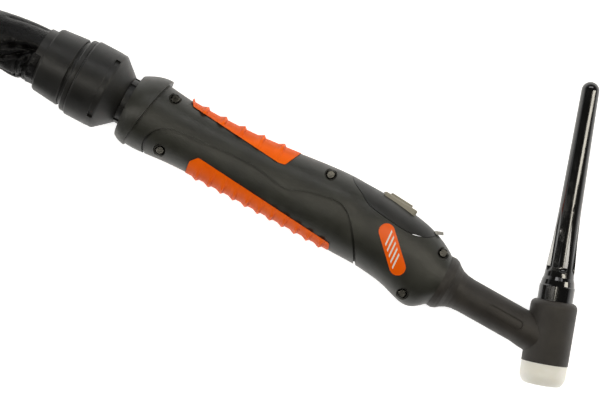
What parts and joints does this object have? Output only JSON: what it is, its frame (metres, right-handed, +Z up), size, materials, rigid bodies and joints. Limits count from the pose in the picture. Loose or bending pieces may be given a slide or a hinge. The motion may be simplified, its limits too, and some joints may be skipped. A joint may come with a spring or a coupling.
{
  "type": "tig torch",
  "caption": "Air-cooled TIG welding torch with ball-joint handle, trigger key, long back cap, leather cable sleeve and coiled cable with plug.",
  "frame": {"origin": "middle of the underside of the torch's box, cord left out; the torch lies on its side", "axes": "+X along the handle towards the head, +Y towards the back cap's side, +Z up through the handle's near side"},
  "size_m": [0.5458, 0.406, 0.0558],
  "materials": {
    "handle_plastic": "fine textured black",
    "carrier_plastic": "smooth black",
    "gloss_black": "glossy black",
    "grip_rubber": "orange",
    "switch_grey": "grey",
    "label_film": "orange film with plain white slanted bars",
    "body_rubber": "warm black moulded rubber",
    "brass": "turned",
    "copper": "drawn copper tube",
    "ptfe": "off-white",
    "screw_steel": "black oxide",
    "spring_steel": "drawn wire",
    "nylon": "natural nylon",
    "oring_rubber": "black",
    "hose_rubber": "black",
    "wire_pvc": "dark grey",
    "sleeve_leather": "black, creased",
    "cable_rubber": "black cable jacket",
    "tie_webbing": "black hook-and-loop"
  },
  "bodies": {
    "handle": {"handle_shell_near": "handle_plastic", "handle_shell_far": "handle_plastic", "switch_carrier": "carrier_plastic", "carrier_clip": "gloss_black", "grip_pad_upper": "grip_rubber", "grip_pad_lower": "grip_rubber", "handle_screws": "screw_steel", "label": "label_film", "switch_bezel": "switch_grey", "trigger_spring": "spring_steel", "microswitch_body": "gloss_black", "body_insulation": "body_rubber", "head_core": "brass", "neck_tube": "copper", "tail_fitting": "brass", "front_insulator": "ptfe", "hose_front": "hose_rubber", "hose_ferrule": "brass", "wires_front": "wire_pvc"},
    "seat_liner": {"ball_seat_liner": "nylon"},
    "knuckle": {"knuckle_housing": "handle_plastic", "knuckle_ball": "nylon", "knuckle_ring": "handle_plastic", "hose_rear": "hose_rubber", "wires_rear": "wire_pvc", "cable_sleeve": "sleeve_leather", "cable_tube": "cable_rubber", "cable_tail": "cable_rubber", "cable_coil": "cable_rubber", "coil_tie_1": "tie_webbing", "coil_tie_2": "tie_webbing", "coil_tie_3": "tie_webbing", "plug_boot": "hose_rubber", "plug_body": "carrier_plastic", "power_pin": "brass"},
    "trigger": {"trigger_button": "switch_grey"},
    "switch_plunger": {"microswitch_plunger": "nylon"},
    "cap_seal": {"cap_oring": "oring_rubber"},
    "cap": {"back_cap": "gloss_black"}
  },
  "joints": [
    {"name": "knuckle_yaw", "type": "hinge", "parent": "handle", "child": "seat_liner", "pos_m": [-0.09035, -0.0423, 0.01975], "axis": [0, 0, 1], "range_deg": [-9, 9]},
    {"name": "knuckle_pitch", "type": "hinge", "parent": "seat_liner", "child": "knuckle", "pos_m": [-0.09035, -0.0423, 0.01975], "axis": [0, 1, 0], "range_deg": [-9, 9]},
    {"name": "trigger_press", "type": "slide", "parent": "handle", "child": "trigger", "axis": [-0.0802, -0.9968, 0], "range_m": [0, 0.0012], "stiffness_N_per_m": 1000, "springref_m": -0.001, "deforming": ["trigger_spring"]},
    {"name": "plunger_press", "type": "slide", "parent": "handle", "child": "switch_plunger", "axis": [-0.0802, -0.9968, 0], "range_m": [0, 0.0012]},
    {"name": "cap_travel", "type": "slide", "parent": "handle", "child": "cap_seal", "axis": [-0.3156, 0.9489, 0], "range_m": [0, 0.00625]},
    {"name": "cap_turn", "type": "hinge", "parent": "cap_seal", "child": "cap", "pos_m": [0.12834, -0.03024, 0.01975], "axis": [-0.3156, 0.9489, 0], "range_deg": [0, 1800.1]}
  ],
  "couplings": [
    {"joint": "plunger_press", "follows": "trigger_press", "ratio": 1},
    {"joint": "cap_turn", "follows": "cap_travel", "rad_per_m": 5026.5}
  ]
}
